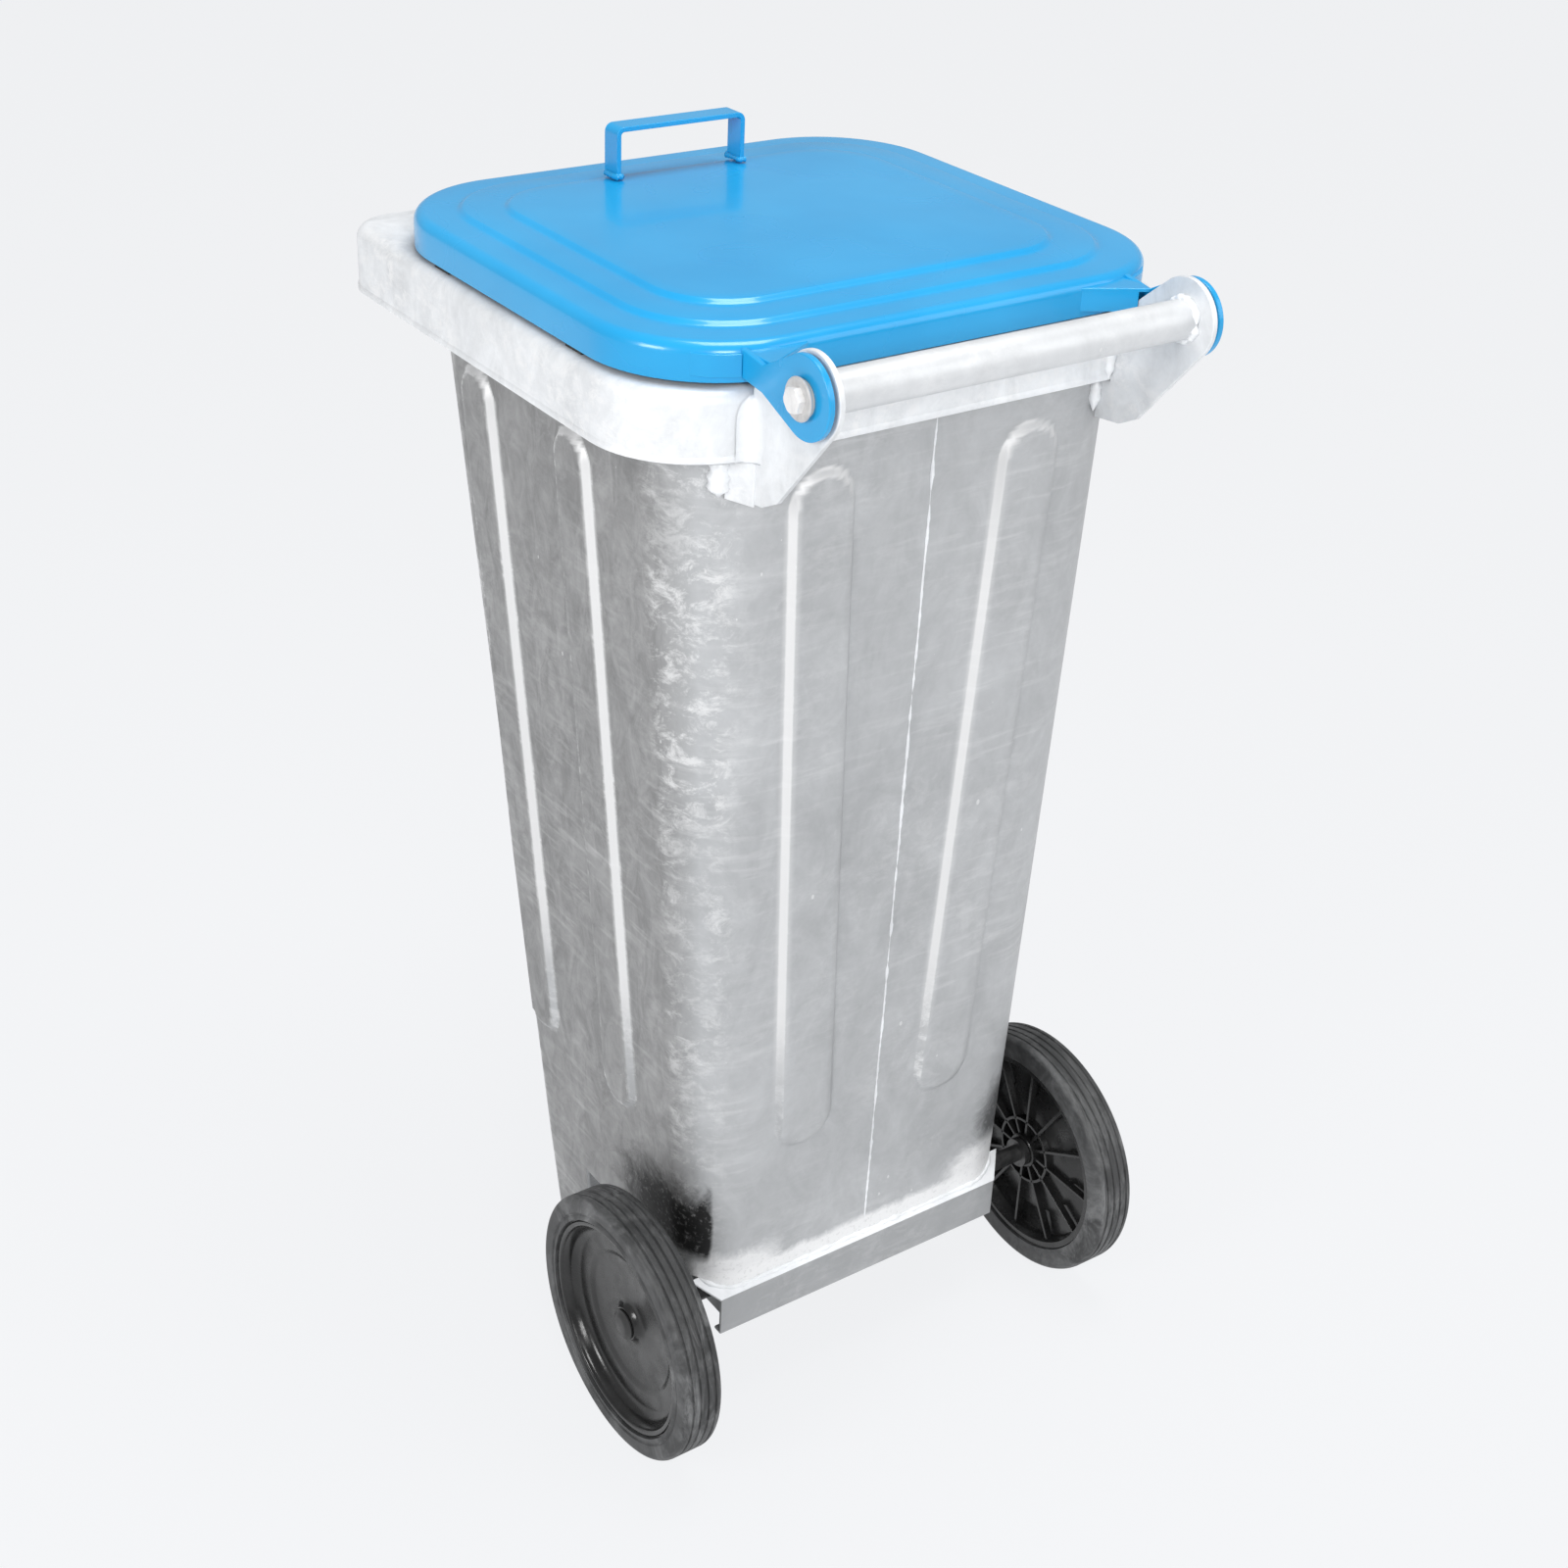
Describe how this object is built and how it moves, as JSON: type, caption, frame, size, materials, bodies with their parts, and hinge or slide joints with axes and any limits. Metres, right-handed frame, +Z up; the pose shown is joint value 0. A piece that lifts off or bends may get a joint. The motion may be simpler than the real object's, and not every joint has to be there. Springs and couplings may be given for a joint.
{
  "type": "wheeled refuse bin",
  "caption": "Galvanised steel wheeled refuse bin: tapered body with embossed pads, pressed rim with lifting comb, rear handle tube, and a blue stepped lid hinged on the tube's brackets.",
  "frame": {"origin": "centre of the footprint on the floor, under the middle of the bin's overall box", "axes": "+Z up; -Y to the front, where the comb and the lid handle are; +Y to the rear, where the handle tube, hinge and wheels are; +X to the left side of a person who stands behind the bin"},
  "size_m": [0.494, 0.582, 1.058],
  "materials": {
    "galvanised_sheet": "hot-dip galvanised sheet, matt with cloudy spangle",
    "galvanised_tube": "galvanised tube, satin",
    "zinc_plate": "bright zinc-plated fastener",
    "axle_steel": "plain turned steel bar",
    "lid_paint": "glossy blue powder coat",
    "buffer_rubber": "black rubber",
    "black_plastic": "black moulded plastic",
    "wheel_plastic": "dark grey moulded plastic with a slight sheen",
    "bush_nylon": "natural nylon",
    "tyre_rubber": "dark grey solid rubber, worn"
  },
  "bodies": {
    "bin": {"body_shell": "galvanised_sheet", "base_pan": "galvanised_sheet", "front_foot": "galvanised_sheet", "rim_frame": "galvanised_sheet", "comb_ribs": "galvanised_sheet", "axle_channel": "galvanised_sheet", "axle_saddles": "galvanised_sheet", "hinge_bracket_left": "galvanised_sheet", "hinge_bracket_right": "galvanised_sheet", "handle_tube": "galvanised_tube", "pivot_bolt_left": "zinc_plate", "pivot_bolt_right": "zinc_plate", "pivot_washer_left": "zinc_plate", "pivot_washer_right": "zinc_plate", "axle_collar_left": "zinc_plate", "axle_collar_right": "zinc_plate", "axle": "axle_steel", "tube_plug_left": "black_plastic", "tube_plug_right": "black_plastic", "axle_cap_left": "black_plastic", "axle_cap_right": "black_plastic", "thrust_washer_left": "bush_nylon", "thrust_washer_right": "bush_nylon"},
    "lid": {"lid_pan": "lid_paint", "lid_handle": "lid_paint", "lid_buffers": "buffer_rubber", "lid_arm_left": "lid_paint", "lid_arm_right": "lid_paint", "pivot_bush_left": "bush_nylon", "pivot_bush_right": "bush_nylon"},
    "wheel_left": {"wheel_disc_left": "wheel_plastic", "tyre_left": "tyre_rubber", "hub_sleeve_left": "bush_nylon"},
    "wheel_right": {"wheel_disc_right": "wheel_plastic", "tyre_right": "tyre_rubber", "hub_sleeve_right": "bush_nylon"}
  },
  "joints": [
    {"name": "lid_hinge", "type": "hinge", "parent": "bin", "child": "lid", "pos_m": [0, 0.26, 0.995], "axis": [-1, 0, 0], "range_deg": [0, 250]},
    {"name": "wheel_left_spin", "type": "hinge", "parent": "bin", "child": "wheel_left", "pos_m": [0, 0.142, 0.12], "axis": [1, 0, 0], "continuous": true},
    {"name": "wheel_right_spin", "type": "hinge", "parent": "bin", "child": "wheel_right", "pos_m": [0, 0.142, 0.12], "axis": [1, 0, 0], "continuous": true}
  ]
}
